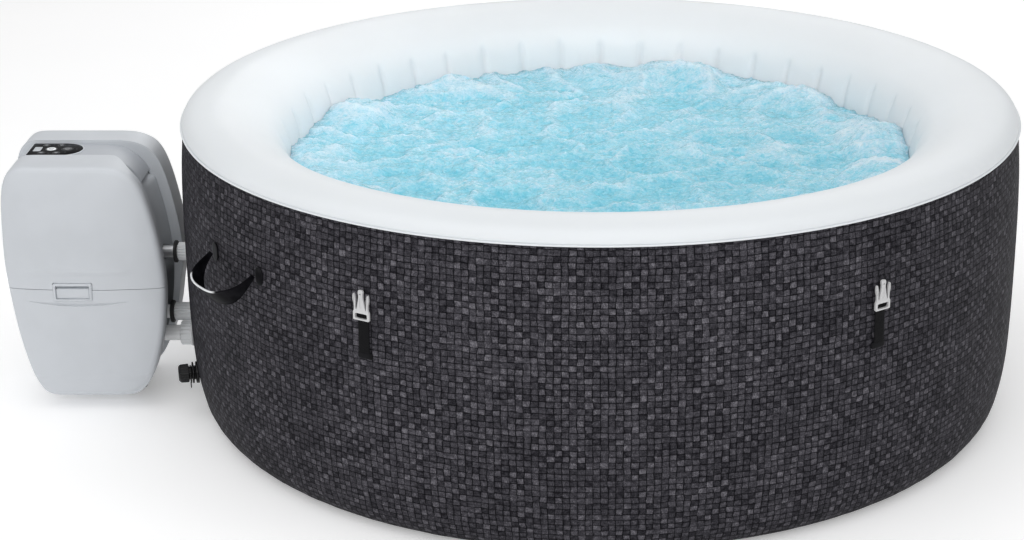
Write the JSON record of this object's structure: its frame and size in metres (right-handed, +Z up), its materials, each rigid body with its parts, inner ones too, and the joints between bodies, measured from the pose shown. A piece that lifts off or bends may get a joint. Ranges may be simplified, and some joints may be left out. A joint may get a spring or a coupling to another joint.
{
  "type": "inflatable hot tub",
  "caption": "Round inflatable hot tub with padded white rim, carry handles, buckled lid straps and a free-standing heater, filter and bubble unit plumbed to its side.",
  "frame": {"origin": "centre of the tub's round base, on the ground", "axes": "+Z up; the equipment unit stands at -X; the controls and access door side faces -Y"},
  "size_m": [2.168, 1.8, 0.66],
  "materials": {
    "printed_vinyl": "matt print on vinyl",
    "white_vinyl": "satin vinyl",
    "brace_vinyl": "satin vinyl",
    "black_webbing": "woven",
    "black_vinyl": "gloss",
    "buckle_plastic": "satin",
    "case_plastic": "satin",
    "deck_plastic": "satin",
    "core_plastic": "satin",
    "gloss_black": "gloss",
    "key_white": "gloss",
    "key_black": "gloss",
    "black_rubber": "matt",
    "pipe_plastic": "satin",
    "steel": "brushed",
    "circuit_board": "satin",
    "filter_paper": "matt",
    "motor_casing": "satin"
  },
  "bodies": {
    "tub": {"outer_wall": "printed_vinyl", "top_rim": "white_vinyl", "inner_wall": "white_vinyl", "floor_liner": "white_vinyl", "brace_bands": "brace_vinyl", "air_jet_ring": "white_vinyl", "outlet_wall_fitting": "pipe_plastic", "inlet_wall_fitting": "pipe_plastic", "air_wall_fitting": "pipe_plastic", "outlet_screen": "pipe_plastic", "filter_housing": "pipe_plastic", "outlet_seal": "black_rubber", "inlet_seal": "black_rubber", "drain_valve_body": "black_vinyl", "drain_cap_tether": "black_vinyl", "inflation_valve_body": "black_vinyl", "pump_front_cover": "case_plastic", "pump_rear_cover": "case_plastic", "door_hinge_rod": "steel", "pump_core_frame": "core_plastic", "pump_top_deck": "deck_plastic", "control_panel": "gloss_black", "display_window": "key_white", "control_board": "circuit_board", "pump_base_tray": "black_rubber", "suction_pipe": "pipe_plastic", "circulation_pump": "core_plastic", "pump_motor": "motor_casing", "heater_tube": "steel", "air_blower": "motor_casing", "air_port_pipe": "pipe_plastic", "power_cable": "black_rubber", "power_plug": "black_rubber"},
    "handle_left": {"handle_left": "black_vinyl"},
    "handle_right": {"handle_right": "black_vinyl"},
    "strap_1": {"lid_strap_1": "black_webbing"},
    "buckle_1": {"lid_buckle_1": "buckle_plastic"},
    "strap_2": {"lid_strap_2": "black_webbing"},
    "buckle_2": {"lid_buckle_2": "buckle_plastic"},
    "strap_3": {"lid_strap_3": "black_webbing"},
    "buckle_3": {"lid_buckle_3": "buckle_plastic"},
    "strap_4": {"lid_strap_4": "black_webbing"},
    "buckle_4": {"lid_buckle_4": "buckle_plastic"},
    "cartridge": {"filter_cartridge": "filter_paper"},
    "filter_cap": {"filter_cap": "pipe_plastic"},
    "outlet_nut": {"outlet_union_nut": "pipe_plastic"},
    "inlet_nut": {"inlet_union_nut": "pipe_plastic"},
    "air_nut": {"air_union_nut": "pipe_plastic"},
    "drain_cap": {"drain_valve_cap": "black_vinyl"},
    "inflation_cap": {"inflation_valve_cap": "black_vinyl"},
    "access_door": {"pump_access_door": "case_plastic"},
    "latch": {"latch_slider": "case_plastic"},
    "button_power": {"button_power": "key_white"},
    "button_bubbles": {"button_bubbles": "key_black"},
    "button_heat": {"button_heat": "key_black"},
    "button_filter": {"button_filter": "key_black"},
    "button_up": {"button_up": "key_black"},
    "button_down": {"button_down": "key_black"},
    "impeller": {"pump_impeller": "pipe_plastic"},
    "fan": {"blower_fan": "pipe_plastic"}
  },
  "joints": [
    {"name": "handle_left_swing", "type": "hinge", "parent": "tub", "child": "handle_left", "pos_m": [-0.71957, -0.55215, 0.473], "axis": [-0.6088, 0.7934, 0], "range_deg": [-25, 95]},
    {"name": "handle_right_swing", "type": "hinge", "parent": "tub", "child": "handle_right", "pos_m": [0.71957, 0.55215, 0.473], "axis": [0.6088, -0.7934, 0], "range_deg": [-25, 95]},
    {"name": "strap_1_swing", "type": "hinge", "parent": "tub", "child": "strap_1", "pos_m": [-0.44004, -0.79059, 0.385], "axis": [0.8738, -0.4863, 0], "range_deg": [0, 120]},
    {"name": "buckle_1_tilt", "type": "hinge", "parent": "strap_1", "child": "buckle_1", "pos_m": [-0.44091, -0.79216, 0.452], "axis": [0.8738, -0.4863, 0], "range_deg": [0, 60]},
    {"name": "strap_2_swing", "type": "hinge", "parent": "tub", "child": "strap_2", "pos_m": [0.52542, -0.73661, 0.385], "axis": [0.8141, 0.5807, 0], "range_deg": [0, 120]},
    {"name": "buckle_2_tilt", "type": "hinge", "parent": "strap_2", "child": "buckle_2", "pos_m": [0.52646, -0.73808, 0.452], "axis": [0.8141, 0.5807, 0], "range_deg": [0, 60]},
    {"name": "strap_3_swing", "type": "hinge", "parent": "tub", "child": "strap_3", "pos_m": [0.52542, 0.73661, 0.385], "axis": [-0.8141, 0.5807, 0], "range_deg": [0, 120]},
    {"name": "buckle_3_tilt", "type": "hinge", "parent": "strap_3", "child": "buckle_3", "pos_m": [0.52646, 0.73808, 0.452], "axis": [-0.8141, 0.5807, 0], "range_deg": [0, 60]},
    {"name": "strap_4_swing", "type": "hinge", "parent": "tub", "child": "strap_4", "pos_m": [-0.44004, 0.79059, 0.385], "axis": [-0.8738, -0.4863, 0], "range_deg": [0, 120]},
    {"name": "buckle_4_tilt", "type": "hinge", "parent": "strap_4", "child": "buckle_4", "pos_m": [-0.44091, 0.79216, 0.452], "axis": [-0.8738, -0.4863, 0], "range_deg": [0, 60]},
    {"name": "cartridge_pull", "type": "slide", "parent": "tub", "child": "cartridge", "axis": [1, 0, 0], "range_m": [0, 0.12]},
    {"name": "filter_cap_twist", "type": "hinge", "parent": "cartridge", "child": "filter_cap", "pos_m": [-0.636, -0.05, 0.1752], "axis": [1, 0, 0], "range_deg": [0, 90]},
    {"name": "outlet_nut_turn", "type": "hinge", "parent": "tub", "child": "outlet_nut", "pos_m": [-0.911, -0.06, 0.3195], "axis": [1, 0, 0], "continuous": true},
    {"name": "inlet_nut_turn", "type": "hinge", "parent": "tub", "child": "inlet_nut", "pos_m": [-0.92, -0.05, 0.1752], "axis": [1, 0, 0], "continuous": true},
    {"name": "air_nut_turn", "type": "hinge", "parent": "tub", "child": "air_nut", "pos_m": [-0.912, -0.07, 0.1323], "axis": [1, 0, 0], "continuous": true},
    {"name": "drain_cap_turn", "type": "hinge", "parent": "tub", "child": "drain_cap", "pos_m": [-0.89267, -0.22257, 0.1], "axis": [-0.9703, -0.2419, 0], "continuous": true},
    {"name": "inflation_cap_flip", "type": "hinge", "parent": "tub", "child": "inflation_cap", "pos_m": [-0.87658, 0.23488, 0.48], "axis": [0.2588, 0.9659, 0], "range_deg": [0, 140]},
    {"name": "access_door_tilt", "type": "hinge", "parent": "tub", "child": "access_door", "pos_m": [-1.098, -0.0975, 0.03], "axis": [1, 0, 0], "range_deg": [0, 25]},
    {"name": "latch_lift", "type": "slide", "parent": "access_door", "child": "latch", "axis": [0, 0, 1], "range_m": [0, 0.0045]},
    {"name": "press_power", "type": "slide", "parent": "tub", "child": "button_power", "axis": [0, 0, -1], "range_m": [0, 0.0012], "stiffness_N_per_m": 400, "springref_m": -0.0004},
    {"name": "press_bubbles", "type": "slide", "parent": "tub", "child": "button_bubbles", "axis": [0, 0, -1], "range_m": [0, 0.0012], "stiffness_N_per_m": 400, "springref_m": -0.0004},
    {"name": "press_heat", "type": "slide", "parent": "tub", "child": "button_heat", "axis": [0, 0, -1], "range_m": [0, 0.0012], "stiffness_N_per_m": 400, "springref_m": -0.0004},
    {"name": "press_filter", "type": "slide", "parent": "tub", "child": "button_filter", "axis": [0, 0, -1], "range_m": [0, 0.0012], "stiffness_N_per_m": 400, "springref_m": -0.0004},
    {"name": "press_up", "type": "slide", "parent": "tub", "child": "button_up", "axis": [0, 0, -1], "range_m": [0, 0.0012], "stiffness_N_per_m": 400, "springref_m": -0.0004},
    {"name": "press_down", "type": "slide", "parent": "tub", "child": "button_down", "axis": [0, 0, -1], "range_m": [0, 0.0012], "stiffness_N_per_m": 400, "springref_m": -0.0004},
    {"name": "impeller_spin", "type": "hinge", "parent": "tub", "child": "impeller", "pos_m": [-1.085, -0.06, 0.12], "axis": [0, 0, 1], "continuous": true},
    {"name": "fan_spin", "type": "hinge", "parent": "tub", "child": "fan", "pos_m": [-1.165, -0.06, 0.41], "axis": [0, 1, 0], "continuous": true}
  ]
}
